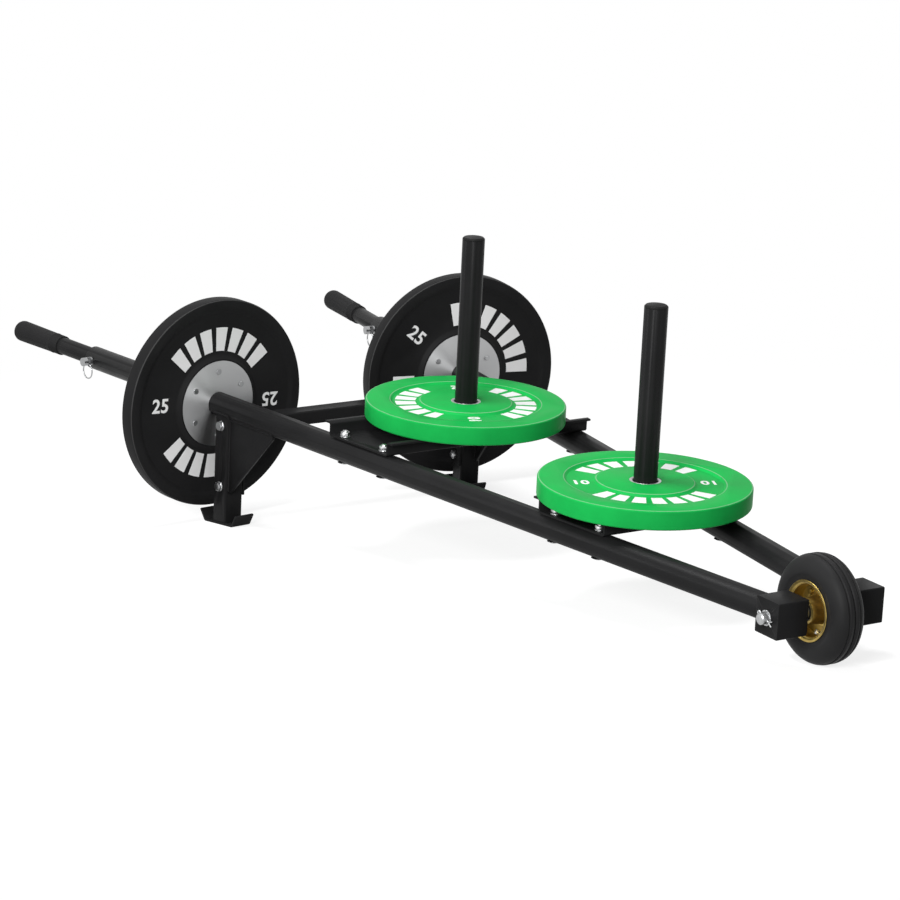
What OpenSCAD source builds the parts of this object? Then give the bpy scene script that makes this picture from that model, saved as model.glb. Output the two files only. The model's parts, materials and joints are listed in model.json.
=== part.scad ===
// Plate-loaded wheelbarrow for gym and conditioning work.
// Two straight frame tubes run from the axle boxes to the handle sleeves.
// All sizes are in millimetres, and Z is up from the floor.
// X runs forward towards the wheel, and Y runs to the left side.

/* [Frame] */
// Outside diameter of the two long frame tubes
frame_tube_d = 50; // [48:0.1:50.2]
// Wall of the frame tubes
frame_tube_wall = 6; // [3:0.1:6]
// Distance of each tube centre from the middle plane at the axle
half_spacing = 77.2; // [74:0.1:86]
// Angle between each tube and the middle plane
spread_angle = 7.99; // [7:0.01:9]
// Angle by which the frame runs down to the wheel
frame_pitch = 5.4; // [4.6:0.1:6.2]
// Rear end of the sleeve, measured along the tube from the axle
sleeve_end = 2130; // [2124:1:2180]

/* [Legs] */
// Leg centre, measured along the tube from the axle
leg_at = 1631; // [1600:1:1650]
// Outside width of the square leg tube
leg_size = 45; // [42:0.5:48]
// Wall of the leg tube
leg_wall = 3; // [2:0.5:5]
// Outside corner radius of the square leg tube
leg_corner = 5; // [3:0.5:8]
// Height of the upper leg bolt below the tube centre
leg_bolt_top = 36.4; // [35:0.1:38]
// Height of the lower leg bolt below the tube centre
leg_bolt_low = 170; // [150:1:180]
// Flat length of the foot
foot_flat = 88; // [80:1:100]
// Width of the foot
foot_width = 48; // [46:1:60]
// Thickness of the foot plate
foot_t = 5; // [4:0.5:8]
// Length of each turned-up end of the foot
foot_lip = 24; // [18:1:30]
// Angle of the turned-up ends above the floor
foot_lip_angle = 58; // [45:1:70]
// Inside bend radius of the turned-up ends
foot_bend = 3; // [2:0.5:6]
// Length of the gusset along the tube
gusset_len = 144; // [100:1:170]
// Height of the gusset below the tube centre
gusset_drop = 182; // [140:1:190]
// Height of the gusset tip below the tube
gusset_tip = 4; // [2:0.5:10]
// Thickness of the gusset
gusset_t = 6; // [4:0.5:8]
// Distance of the gusset from the tube centre, towards the outer side
gusset_off = 13; // [0:1:14]

/* [Rear crossmember] */
// Front-to-back size of the crossmember tube
cross_depth = 42; // [36:1:44]
// Height of the crossmember tube
cross_height = 30; // [29:0.5:32]
// Wall of the crossmember tube
cross_wall = 3; // [2:0.5:3]
// Outside corner radius of the crossmember tube
cross_corner = 4; // [3:0.5:6]
// Height of the crossmember centre below the tube centre
cross_drop = 37; // [36:0.1:39]
// Thickness of the end plates
end_plate_t = 5; // [4:0.5:8]
// Width of the end plates
end_plate_w = 44; // [42:1:48]

/* [Plate channels] */
// Width of the channel over its flanges
channel_width = 182.5; // [170:0.5:195]
// Height of the channel
channel_height = 30.2; // [28:0.1:36]
// Sheet thickness of the channel
channel_t = 4; // [3:0.5:5]
// Width of the outward lips
channel_lip = 15; // [12:1:24]
// Length by which the channel runs past the tube centre
channel_overrun = 15; // [12:1:20]
// Inside bend radius of the channel sheet
channel_bend = 2.5; // [1.5:0.5:5]
// Spacing of the two channel bolts on one side
channel_bolt_pitch = 122; // [110:1:132]

/* [Posts] */
// Outside diameter of the plate posts
post_d = 46; // [44:0.1:48]
// Wall of the plate posts
post_wall = 3.5; // [3:0.5:5]
// Rear post position ahead of the axle, so negative is behind it
rear_post_u = -1173; // [-1200:1:-1150]
// Front post position
front_post_u = -543; // [-570:1:-520]
// Height of the post tops above the tube centres
post_top = 438; // [420:1:470]
// Thickness of the top of the post cap
post_cap_t = 5; // [4:0.5:8]

/* [Handles] */
// Outside diameter of the handle tubes
handle_d = 38; // [36:0.1:38]
// Wall of the handle tubes
handle_wall = 3.2; // [2.5:0.1:4]
// Length of handle tube that sits inside the sleeve
handle_insert = 150; // [100:1:200]
// Length of handle and grip behind the rear end of the sleeve
handle_out = 292; // [270:1:340]
// Length of the grips
grip_length = 170; // [150:1:200]
// Diameter of the grip at its front end
grip_d_front = 44; // [42:0.1:47]
// Diameter of the grip at its rear end
grip_d_rear = 46.8; // [44:0.1:50]
// Rounding of the grip end
grip_round = 12; // [6:1:18]
// Length of the front collar of the grip
grip_collar = 28; // [20:1:35]

/* [Locking pins] */
// Pin position, measured along the tube from the axle
pin_at = 2108; // [2095:1:2110]
// Diameter of the pin
pin_d = 9.5; // [8:0.1:10]
// Radial clearance of the pin in its holes
pin_clear = 0.08; // [0.05:0.01:0.1]
// Diameter of the pin head
pin_head_d = 18.7; // [16:0.1:22]
// Length of the solid end of the pin head
pin_head_len = 10.4; // [8:0.1:14]
// Mean radius of the pull ring
ring_r = 16.3; // [15:0.1:19]
// Wire diameter of the pull ring
ring_wire = 2.8; // [2:0.1:3.5]

/* [Axle] */
// Diameter of the axle
axle_d = 22; // [19:0.5:25]
// Front-to-back size of the axle box
box_len = 64.5; // [58:0.5:72]
// Height of the axle box
box_height = 68; // [62:1:74]
// Width of the axle box
box_width = 67.5; // [62:0.5:72]
// Wall of the axle box
box_wall = 6; // [4:0.5:8]
// Rounding of the long edges of the axle box
box_corner = 3; // [1:0.5:6]
// Front face of the axle box ahead of the axle
box_front = 33; // [29:1:37]
// Gap between each axle box and the middle plane
box_gap = 53; // [50:0.5:56]
// Length of axle that stands out on the right side
axle_stand_out = 16.6; // [14:0.1:24]
// Diameter of the cotter pin
cotter_d = 4; // [3:0.5:4.5]

/* [Wheel] */
// Outside radius of the tyre
tyre_r = 101.5; // [98:0.5:105]
// Width of the tyre
tyre_w = 63; // [60:0.5:68]
// Number of grooves round the tread
tread_grooves = 3; // [2:1:4]
// Width of each tread groove
groove_w = 5; // [3:0.5:6]
// Depth of each tread groove
groove_deep = 2.5; // [1.5:0.5:4]
// Distance between two tread grooves
groove_pitch = 12.5; // [11:0.5:13]
// Radius of the rim flange
rim_flange_r = 57; // [54:0.5:60]
// Radius of the bead seat
bead_r = 50.8; // [49:0.1:51.5]
// Sheet thickness of the rim halves
rim_t = 2.5; // [2:0.1:4]
// Outside diameter of the bearings
bearing_od = 42; // [40:1:46]
// Width of the bearings
bearing_w = 12; // [10:1:14]
// Distance of each bearing from the middle plane
bearing_in = 20; // [18:1:22]
// Number of balls in each bearing
ball_count = 10; // [8:1:12]
// Number of rim bolts
rim_bolt_count = 4; // [3:1:6]
// Radius of the rim bolt circle
rim_bolt_r = 36; // [34:0.5:39]

/* [Black plates] */
// Diameter of the black plates
plate_d = 450; // [440:1:460]
// Thickness of the black plates at the rim
black_t = 34; // [32:0.5:38]
// Clear length of tube between each black plate and its leg
plate_stand_off = 24; // [8:1:30]
// Depth of the sunk ring of the black plates
black_sink = 5; // [3:0.5:8]
// Width of the raised rim of the black plates
black_rim_w = 30; // [25:1:40]
// Rounding of the rim edges of the black plates
black_round = 3.5; // [2:0.5:8]
// Bore of all four weight plates
plate_bore = 50.6; // [50.2:0.1:52]
// Diameter of the steel hub discs
hub_d = 185.8; // [176:0.2:192]
// Distance between the outer faces of the hub discs
hub_span = 40.3; // [38:0.1:44]
// Thickness of the hub discs
hub_t = 4; // [3:0.5:6]
// Number of hub rivets
hub_rivet_count = 6; // [5:1:8]
// Radius of the hub rivet circle
hub_rivet_r = 69.5; // [64:0.5:76]

/* [Green plates] */
// Diameter of the green plates
green_d = 414.4; // [400:0.2:430]
// Thickness of the green plates
green_t = 38; // [34:0.5:44]
// Radius of the raised middle of the green plates
green_hub_r = 95; // [85:1:105]
// Width of the raised rim of the green plates
green_rim_w = 51.2; // [40:0.2:60]
// Depth of the sunk ring of the green plates
green_sink = 5; // [3:0.5:8]
// Rounding of the rim edges of the green plates
green_round = 3.5; // [2:0.5:8]
// Outside diameter of the steel bore ring
bore_ring_d = 62; // [56:1:80]

/* [Fasteners] */
// Diameter of the leg and channel bolts
bolt_d = 10; // [8:0.5:10]
// Width across the flats of the heads and nuts
bolt_af = 17; // [15:0.5:18]
// Height of the bolt heads
head_h = 6.4; // [5:0.1:8]
// Height of the nuts
nut_h = 8.4; // [7:0.1:9]
// Diameter of the washers
washer_d = 21; // [20:0.5:24]
// Thickness of the washers
washer_t = 2; // [1.5:0.1:3]
// Radial clearance of bolts in their holes
bolt_clear = 0.3; // [0.2:0.1:0.6]
// Gap left where a green plate rests on the channel lips
rest_gap = 0.3; // [0.2:0.1:0.5]
// Gap left where the bore of a black plate hangs on its tube
hang_gap = 0.1; // [0.05:0.01:0.2]

/* [Hidden] */
$fn = 96;
tube_r = frame_tube_d / 2;
sleeve_id = frame_tube_d - 2 * frame_tube_wall;
// Ends of the grip, measured along the tube from the axle
grip_end = sleeve_end + handle_out;
grip_start = grip_end - grip_length;
// Outer radius of the sunk ring of each kind of plate
black_sink_r = plate_d / 2 - black_rim_w;
green_rim_r = green_d / 2 - green_rim_w;
// Unit direction of the grip axis along X, for the object's rear end
axis_x = cos(spread_angle) * cos(frame_pitch);
grip_tip_r = grip_d_rear / 2 - grip_round;
rear_x = (grip_end - grip_round) * axis_x + grip_tip_r * sqrt(1 - axis_x * axis_x) + grip_round;
origin_x = (rear_x - tyre_r) / 2;
// Leg foot position in the frame plane and on the floor
leg_u = -leg_at * cos(spread_angle);
leg_v = half_spacing + leg_at * sin(spread_angle);
foot_w = (leg_u * sin(frame_pitch) - tyre_r) / cos(frame_pitch);
foot_x = leg_u * cos(frame_pitch) + foot_w * sin(frame_pitch);
channel_top = tube_r + channel_height;
black_at = leg_at + leg_size / 2 + plate_stand_off + black_t / 2;
box_rear = box_front - box_len;
box_out = box_gap + box_width;
hub_cup_t = 2.5;
spacer_od = axle_d + 8;
plate_bore_r = plate_bore / 2;

// Points of an arc about one centre, from angle a to angle b
function arc(x, y, r, a, b) = [for (i = [0:5]) [x + r * cos(a + (b - a) * i / 5), y + r * sin(a + (b - a) * i / 5)]];

// Rectangle with round corners, centred
module round_box(w, h, r) {
 square([w, h - 2 * r], center = true);
 square([w - 2 * r, h], center = true);
 for (x = [-1, 1])
 for (y = [-1, 1])
 translate([x * (w / 2 - r), y * (h / 2 - r)])
 circle(r = r);
}

// Section of a rectangular tube with round corners
module tube_section(w, h, t, r) {
 difference() {
  round_box(w, h, r);
  round_box(w - 2 * t, h - 2 * t, max(r - t, 0.8));
 }
}

// Moves from the frame plane to the floor frame
module place() {
 translate([origin_x, 0, tyre_r])
 rotate([0, frame_pitch, 0])
 children();
}

// Moves from the floor frame back to the frame plane
module unplace() {
 rotate([0, -frame_pitch, 0])
 translate([0, 0, -tyre_r])
 children();
}

// Local frame of one tube, with x along the tube and y towards the middle
module side(left) {
 mirror([0, left ? 1 : 0, 0])
 translate([0, -half_spacing, 0])
 rotate([0, 0, spread_angle])
 children();
}

// Round bar along local x, from a to b behind the axle
module bar_x(a, b, r) {
 translate([-b, 0, 0])
 rotate([0, 90, 0])
 cylinder(h = b - a, r = r);
}

// Round bar along local y, from y0 to y1
module bar_y(y0, y1, r) {
 translate([0, y1, 0])
 rotate([90, 0, 0])
 cylinder(h = y1 - y0, r = r);
}

// Revolved piece about the wheel axle, profile in radius and y
module spin_y() {
 rotate([-90, 0, 0])
 rotate_extrude()
 children();
}

// Position of one channel bolt on the tube centre line
module at_bolt(u) {
 translate([u, -half_spacing + u * tan(spread_angle), 0])
 children();
}

module frame_tube(left) {
 difference() {
  side(left) bar_x(-60, sleeve_end, tube_r);
  side(left) bar_x(-70, sleeve_end + 10, sleeve_id / 2);
  translate([box_rear, -500, -200]) cube([400, 1000, 400]);
  side(left)
  translate([-pin_at, 0, 0])
  bar_y(-60, 60, pin_d / 2 + pin_clear);
  for (u = [rear_post_u, front_post_u])
  for (s = [-1, 1])
  mirror([0, left ? 1 : 0, 0])
  at_bolt(u + s * channel_bolt_pitch / 2)
  translate([0, 0, -60])
  cylinder(h = 120, r = bolt_d / 2 + bolt_clear);
 }
}

module frame_tube_right() { color([0.06, 0.06, 0.065]) place() frame_tube(false); }
module frame_tube_left() { color([0.06, 0.06, 0.065]) place() frame_tube(true); }

module axle_box(left) {
 mirror([0, left ? 0 : 1, 0])
 difference() {
  translate([box_rear + box_len / 2, box_out, 0])
  rotate([90, 0, 0])
  linear_extrude(box_width)
  round_box(box_len, box_height, box_corner);
  translate([box_rear + box_wall, box_gap + box_wall, box_wall - box_height / 2])
  cube([box_len - 2 * box_wall, box_width - 2 * box_wall, box_height - 2 * box_wall]);
  bar_y(0, 300, axle_d / 2);
 }
}

module axle_box_right() { color([0.06, 0.06, 0.065]) place() axle_box(false); }
module axle_box_left() { color([0.06, 0.06, 0.065]) place() axle_box(true); }

module leg(left) {
 difference() {
  side(left)
  translate([-leg_at, 0, -400])
  linear_extrude(400)
  tube_section(leg_size, leg_size, leg_wall, leg_corner);
  side(left) bar_x(leg_at - 60, leg_at + 60, tube_r);
  for (z = [leg_bolt_top, leg_bolt_low])
  side(left)
  translate([-leg_at, 0, -z])
  bar_y(-60, 60, bolt_d / 2 + bolt_clear);
  unplace() translate([-3000, -1000, foot_t - 500]) cube([4000, 2000, 500]);
 }
}

module leg_right() { color([0.06, 0.06, 0.065]) place() leg(false); }
module leg_left() { color([0.06, 0.06, 0.065]) place() leg(true); }

module leg_gusset(left) {
 side(left)
 difference() {
  translate([-leg_at + leg_size / 2, gusset_t / 2 - gusset_off, 0])
  rotate([90, 0, 0])
  linear_extrude(gusset_t)
  polygon([[0, -12], [0, -gusset_drop], [5, -gusset_drop],
   [gusset_len, -tube_r - gusset_tip], [gusset_len, -12]]);
  bar_x(leg_at - 300, leg_at + 60, tube_r);
 }
}

module leg_gusset_right() { color([0.07, 0.07, 0.075]) place() leg_gusset(false); }
module leg_gusset_left() { color([0.07, 0.07, 0.075]) place() leg_gusset(true); }

// Foot, built flat on the floor under its leg, with bent-up ends
module foot(left) {
 a = foot_lip_angle;
 b = foot_bend;
 o = foot_bend + foot_t;
 h = foot_flat / 2;
 l = foot_lip;
 half = concat(arc(h, o, o, -90, a - 90),
  [[h + o * sin(a) + l * cos(a), o - o * cos(a) + l * sin(a)],
   [h + b * sin(a) + l * cos(a), o - b * cos(a) + l * sin(a)]],
  arc(h, o, b, a - 90, -90));
 mirror([0, left ? 1 : 0, 0])
 translate([foot_x, -leg_v, 0])
 rotate([0, 0, spread_angle])
 translate([0, foot_width / 2, 0])
 rotate([90, 0, 0])
 linear_extrude(foot_width)
 polygon(concat(half, [for (i = [len(half) - 1:-1:0]) [-half[i][0], half[i][1]]]));
}

module foot_right() { color([0.06, 0.06, 0.065]) translate([origin_x, 0, 0]) foot(false); }
module foot_left() { color([0.06, 0.06, 0.065]) translate([origin_x, 0, 0]) foot(true); }

module rear_crossmember() {
 color([0.06, 0.06, 0.065])
 place()
 difference() {
  translate([leg_u, 500, -cross_drop])
  rotate([90, 0, 0])
  linear_extrude(1000)
  tube_section(cross_depth, cross_height, cross_wall, cross_corner);
  for (left = [false, true])
  side(left)
  translate([-leg_at - 400, -600, -200])
  cube([800, 600 + leg_size / 2 + end_plate_t, 400]);
 }
}

module crossmember_end_plates() {
 color([0.06, 0.06, 0.065])
 place()
 for (left = [false, true])
 side(left)
 difference() {
  translate([-leg_at - end_plate_w / 2, leg_size / 2, -leg_bolt_low - 21])
  cube([end_plate_w, end_plate_t, leg_bolt_low + 21 - leg_bolt_top + 21]);
  for (z = [leg_bolt_top, leg_bolt_low])
  translate([-leg_at, 0, -z])
  bar_y(0, 60, bolt_d / 2 + bolt_clear);
 }
}

// Places a piece at all four leg bolts, with y from the outer leg face inwards
module at_leg_bolts() {
 for (left = [false, true])
 for (z = [leg_bolt_top, leg_bolt_low])
 side(left)
 translate([-leg_at, -leg_size / 2, -z])
 children();
}

module leg_bolts() {
 color([0.75, 0.75, 0.76])
 place()
 at_leg_bolts()
 union() {
  bar_y(-washer_t, leg_size + end_plate_t + nut_h + 3, bolt_d / 2);
  translate([0, -washer_t, 0])
  rotate([90, 0, 0])
  intersection() {
   cylinder(h = head_h, d = bolt_af / cos(30), $fn = 6);
   cylinder(h = head_h, d1 = bolt_af + 16, d2 = bolt_af);
  }
 }
}

module leg_nuts() {
 color([0.75, 0.75, 0.76])
 place()
 at_leg_bolts()
 difference() {
  translate([0, leg_size + end_plate_t + nut_h, 0])
  rotate([90, 0, 0])
  cylinder(h = nut_h, d = bolt_af / cos(30), $fn = 6);
  bar_y(0, 100, bolt_d / 2);
 }
}

module leg_washers() {
 color([0.75, 0.75, 0.76])
 place()
 at_leg_bolts()
 difference() {
  bar_y(-washer_t, 0, washer_d / 2);
  bar_y(-5, 5, bolt_d / 2);
 }
}

// Hat channel across both tubes, centred on its post
module channel(u) {
 w = channel_width / 2;
 t = channel_t;
 l = channel_lip;
 h = channel_height;
 b = channel_bend;
 o = b + t;
 half = concat(arc(w - o, o, o, -90, 0), arc(w + b, h - o, b, 180, 90), [[w + l, h - t], [w + l, h]],
  arc(w + b, h - o, o, 90, 180), arc(w - o, o, b, 0, -90));
 difference() {
  translate([u, 500, tube_r])
  rotate([90, 0, 0])
  linear_extrude(1000)
  polygon(concat(half, [for (i = [len(half) - 1:-1:0]) [-half[i][0], half[i][1]]]));
  for (left = [false, true])
  side(left)
  translate([-3000, -1000 - channel_overrun, -10])
  cube([4000, 1000, 200]);
  for (left = [false, true])
  for (s = [-1, 1])
  mirror([0, left ? 1 : 0, 0])
  at_bolt(u + s * channel_bolt_pitch / 2)
  cylinder(h = 80, r = bolt_d / 2 + bolt_clear);
 }
}

module rear_channel() { color([0.06, 0.06, 0.065]) place() channel(rear_post_u); }
module front_channel() { color([0.06, 0.06, 0.065]) place() channel(front_post_u); }

// Places a piece at all eight channel bolts, with z at the tube centre
module at_channel_bolts() {
 for (left = [false, true])
 for (u = [rear_post_u, front_post_u])
 for (s = [-1, 1])
 mirror([0, left ? 1 : 0, 0])
 at_bolt(u + s * channel_bolt_pitch / 2)
 children();
}

module channel_bolts() {
 color([0.75, 0.75, 0.76])
 place()
 at_channel_bolts()
 union() {
  translate([0, 0, -tube_r])
  cylinder(h = 2 * tube_r + channel_t + washer_t + nut_h + 3, r = bolt_d / 2);
  translate([0, 0, -tube_r])
  mirror([0, 0, 1])
  intersection() {
   cylinder(h = 4.5, r = 14);
   translate([0, 0, 4.5 - 24]) sphere(r = 24);
  }
 }
}

module channel_nuts() {
 color([0.75, 0.75, 0.76])
 place()
 at_channel_bolts()
 translate([0, 0, tube_r + channel_t + washer_t])
 difference() {
  cylinder(h = nut_h, d = bolt_af / cos(30), $fn = 6);
  translate([0, 0, -1]) cylinder(h = nut_h + 2, r = bolt_d / 2);
 }
}

module channel_washers() {
 color([0.75, 0.75, 0.76])
 place()
 at_channel_bolts()
 translate([0, 0, tube_r + channel_t])
 difference() {
  cylinder(h = washer_t, r = washer_d / 2);
  translate([0, 0, -1]) cylinder(h = washer_t + 2, r = bolt_d / 2);
 }
}

module post(u) {
 z0 = tube_r + channel_t;
 translate([u, 0, z0])
 difference() {
  cylinder(h = post_top - post_cap_t - z0, r = post_d / 2);
  translate([0, 0, -1]) cylinder(h = post_top, r = post_d / 2 - post_wall);
 }
}

module rear_post() { color([0.06, 0.06, 0.065]) place() post(rear_post_u); }
module front_post() { color([0.06, 0.06, 0.065]) place() post(front_post_u); }

module post_caps() {
 color([0.05, 0.05, 0.05])
 place()
 for (u = [rear_post_u, front_post_u])
 translate([u, 0, post_top - post_cap_t])
 rotate_extrude()
 polygon([[0, -14], [post_d / 2 - post_wall, -14], [post_d / 2 - post_wall, 0], [post_d / 2, 0],
  [post_d / 2, post_cap_t - 3], [post_d / 2 - 3, post_cap_t], [0, post_cap_t]]);
}

module handle_tube(left) {
 side(left)
 difference() {
  bar_x(sleeve_end - handle_insert, grip_end - grip_round, handle_d / 2);
  bar_x(sleeve_end - handle_insert - 5, grip_end, handle_d / 2 - handle_wall);
  translate([-pin_at, 0, 0]) bar_y(-60, 60, pin_d / 2 + pin_clear);
 }
}

module handle_tube_right() { color([0.06, 0.06, 0.065]) place() handle_tube(false); }
module handle_tube_left() { color([0.06, 0.06, 0.065]) place() handle_tube(true); }

// Grip with a raised seam ring and a rounded closed end
module grip(left) {
 r0 = handle_d / 2;
 r1 = grip_d_front / 2;
 r2 = grip_d_rear / 2;
 n = grip_end - grip_start;
 c = grip_collar;
 side(left)
 translate([-grip_start, 0, 0])
 rotate([0, -90, 0])
 rotate_extrude()
 difference() {
  polygon(concat([[0, n], [0, 0], [r1 - 1.2, 0], [r1, 1.2], [r1, c - 1.2], [r1 + 0.7, c - 0.6],
   [r1 + 0.7, c + 0.6], [r1 + 0.2, c + 1.4], [r2, n - grip_round - 14]],
   [for (a = [0:15:90]) [r2 - grip_round + grip_round * cos(a), n - grip_round + grip_round * sin(a)]]));
  translate([0, -1]) square([r0, n - grip_round + 1]);
 }
}

module grip_right() { color([0.09, 0.09, 0.095]) place() grip(false); }
module grip_left() { color([0.09, 0.09, 0.095]) place() grip(true); }

// Turn of the cotter about the axle
cotter_turn = -70;
cotter_y = box_out + 3 + cotter_d / 2;
head_y = box_out + 3;

module axle() {
 color([0.75, 0.75, 0.76])
 place()
 difference() {
  union() {
   bar_y(-box_out - axle_stand_out + 2, head_y, axle_d / 2);
   translate([0, -box_out - axle_stand_out + 2, 0])
   rotate([90, 0, 0])
   cylinder(h = 2, r1 = axle_d / 2, r2 = axle_d / 2 - 2);
   bar_y(head_y, head_y + 8, axle_d / 2 + 5);
  }
  translate([0, -cotter_y, 0])
  rotate([0, cotter_turn, 0])
  translate([0, 0, -60])
  cylinder(h = 120, r = cotter_d / 2);
 }
}

module axle_cotter() {
 r = axle_d / 2;
 color([0.75, 0.75, 0.76])
 place()
 translate([0, -cotter_y, 0])
 rotate([0, cotter_turn, 0])
 union() {
  translate([0, 0, -r - 2]) cylinder(h = 2 * r + 4, r = cotter_d / 2);
  for (a = [-38, 16])
  translate([0, 0, -r - 1])
  rotate([0, a, 0])
  translate([0, 0, -12])
  cylinder(h = 12, r = 1.4);
  translate([0, 0, r + 5])
  rotate([90, 0, 0])
  rotate_extrude() translate([3.6, 0]) circle(r = cotter_d / 2 - 0.4);
 }
}

module axle_washers() {
 color([0.75, 0.75, 0.76])
 place()
 for (s = [0, 1])
 mirror([0, s, 0])
 difference() {
  bar_y(box_out, box_out + 3, axle_d / 2 + 3.5);
  bar_y(box_out - 5, box_out + 8, axle_d / 2);
 }
}

module axle_spacers() {
 color([0.7, 0.7, 0.7])
 place()
 difference() {
  union() {
   bar_y(bearing_in + bearing_w, box_gap, spacer_od / 2);
   bar_y(-box_gap, -bearing_in - bearing_w, spacer_od / 2);
   bar_y(-bearing_in, bearing_in, spacer_od / 2);
  }
  bar_y(-100, 100, axle_d / 2);
 }
}

// Section of one bearing with the ball groove cut out
ball_r = 3.2;
ball_pitch_r = (axle_d + bearing_od) / 4;
module race(r0, r1) {
 for (s = [-1, 1])
 spin_y()
 difference() {
  translate([r0, s * (bearing_in + bearing_w / 2) - bearing_w / 2]) square([r1 - r0, bearing_w]);
  translate([ball_pitch_r, s * (bearing_in + bearing_w / 2)]) circle(r = ball_r + 0.08);
 }
}

module bearing_inner_races() {
 color([0.7, 0.7, 0.72]) place() race(axle_d / 2, ball_pitch_r - 1.9);
}

module bearing_outer_races() {
 color([0.7, 0.7, 0.72]) place() race(ball_pitch_r + 1.9, bearing_od / 2);
}

module bearing_balls() {
 color([0.8, 0.8, 0.82])
 place()
 for (s = [-1, 1])
 for (i = [0:ball_count - 1])
 rotate([0, i * 360 / ball_count, 0])
 translate([ball_pitch_r, s * (bearing_in + bearing_w / 2), 0])
 sphere(r = ball_r);
}

// Places a pin with y pointing from the head inwards
module at_pin(left) {
 side(left)
 translate([-pin_at, 0, 0])
 mirror([0, left ? 1 : 0, 0])
 children();
}

groove_y0 = -tube_r - 12.5;
groove_y1 = -tube_r - 4;
ring_y = (groove_y0 + groove_y1) / 2;
ring_z = -5.8;
module lock_pin(left) {
 at_pin(left)
 difference() {
  union() {
   bar_y(groove_y1, tube_r + 7, pin_d / 2);
   translate([0, tube_r + 7, 0])
   rotate([-90, 0, 0])
   cylinder(h = 2, r1 = pin_d / 2, r2 = pin_d / 2 - 2);
   bar_y(groove_y1, -tube_r - 0.3, pin_head_d / 2);
   bar_y(groove_y0 - pin_head_len, groove_y0, pin_head_d / 2);
   intersection() {
    bar_y(groove_y0, groove_y1, pin_head_d / 2);
    translate([-2, groove_y0, -20]) cube([4, groove_y1 - groove_y0, 40]);
   }
  }
  translate([-10, ring_y, ring_z])
  rotate([0, 90, 0])
  cylinder(h = 20, r = ring_wire / 2 + 0.5);
 }
}

module lock_pin_right() { color([0.8, 0.8, 0.82]) place() lock_pin(false); }
module lock_pin_left() { color([0.8, 0.8, 0.82]) place() lock_pin(true); }

module pull_ring(left) {
 at_pin(left)
 translate([0, ring_y, ring_z - ring_r])
 rotate([90, 0, 0])
 rotate_extrude()
 translate([ring_r, 0])
 circle(r = ring_wire / 2);
}

module pull_ring_right() { color([0.8, 0.8, 0.82]) place() pull_ring(false); }
module pull_ring_left() { color([0.8, 0.8, 0.82]) place() pull_ring(true); }

// Tyre section, with the tread grooves cut in
hw = tyre_w / 2;
widest_r = (tyre_r + rim_flange_r) / 2 - 8;
tube_ring_r = (0.92 * tyre_r + bead_r) / 2;
tube_sec_r = (0.92 * tyre_r - bead_r) / 2 - 2;
tyre_half = concat([[bead_r, hw - 5.8], [bead_r + 2, hw - 3.6], [rim_flange_r - 3, hw - 3.2], [rim_flange_r + 1.4, hw - 2]],
 [for (a = [-40:8:80]) [widest_r + (a < 0 ? 9 : tyre_r - widest_r) * sin(a), hw * pow(cos(a), a < 0 ? 0.16 : 0.62)]]);
module tyre() {
 color([0.09, 0.09, 0.095])
 place()
 spin_y()
 difference() {
  polygon(concat(tyre_half, [[tyre_r, 8], [tyre_r, -8]], [for (i = [len(tyre_half) - 1:-1:0]) [tyre_half[i][0], -tyre_half[i][1]]],
   [[bead_r, 10 - hw], [0.59 * tyre_r, 8 - hw], [0.71 * tyre_r, 6 - hw], [0.82 * tyre_r, 8.5 - hw], [0.89 * tyre_r, 17 - hw],
    [0.92 * tyre_r, 0], [0.89 * tyre_r, hw - 17], [0.82 * tyre_r, hw - 8.5], [0.71 * tyre_r, hw - 6], [0.59 * tyre_r, hw - 8],
    [bead_r, hw - 10]]));
  for (i = [0:tread_grooves - 1])
  translate([tyre_r - groove_deep, (i - (tread_grooves - 1) / 2) * groove_pitch])
  polygon([[0, 1 - groove_w / 2], [0, groove_w / 2 - 1], [groove_deep, groove_w / 2], [20, groove_w / 2 + 6],
   [20, -6 - groove_w / 2], [groove_deep, -groove_w / 2]]);
 }
}

module inner_tube() {
 color([0.05, 0.05, 0.05])
 place()
 spin_y()
 translate([tube_ring_r, 0])
 difference() {
  circle(r = tube_sec_r);
  circle(r = tube_sec_r - 2);
 }
}

// Half rim, with flange, bead seat, centre disc and bearing cup
module rim_half(right) {
 b = bead_r;
 f = rim_flange_r;
 c = bearing_od / 2;
 y1 = bearing_in + bearing_w;
 mirror([0, right ? 1 : 0, 0])
 difference() {
  spin_y()
  polygon([[c, 0], [b, 0], [b, hw - 5.2], [b + 2, hw - 3], [f - 3, hw - 2.4], [f, hw - 1],
   [f - 0.6, hw + 0.6], [f - 4, hw], [b + 1, hw - 0.5], [b - rim_t, hw - 4], [b - rim_t, rim_t],
   [c + 7, rim_t], [c + hub_cup_t, y1 - 10], [c + hub_cup_t, y1 + 2.5], [c - 3, y1 + 2.5], [c - 3, y1], [c, y1]]);
  for (i = [0:rim_bolt_count - 1])
  rotate([0, i * 360 / rim_bolt_count + 45, 0])
  translate([rim_bolt_r, 0, 0])
  bar_y(-10, 20, 3.2);
  if (right)
  mirror([0, 1, 0]) valve_axis() translate([0, 0, -10]) cylinder(h = 40, r = 3.9);
 }
}

module rim_right_half() { color([0.62, 0.46, 0.12]) place() rim_half(true); }
module rim_left_half() { color([0.62, 0.46, 0.12]) place() rim_half(false); }

// Axis of the valve, from the bead seat towards the axle and the right side
module valve_axis() {
 rotate([0, 49, 0])
 translate([bead_r + 2, -12, 0])
 rotate([90, 0, -37])
 children();
}

module valve_stem() {
 color([0.05, 0.05, 0.05])
 place()
 difference() {
  valve_axis() translate([0, 0, -10]) cylinder(h = 24.5, r = 3.9);
  spin_y() translate([tube_ring_r, 0]) circle(r = tube_sec_r);
 }
}

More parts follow.
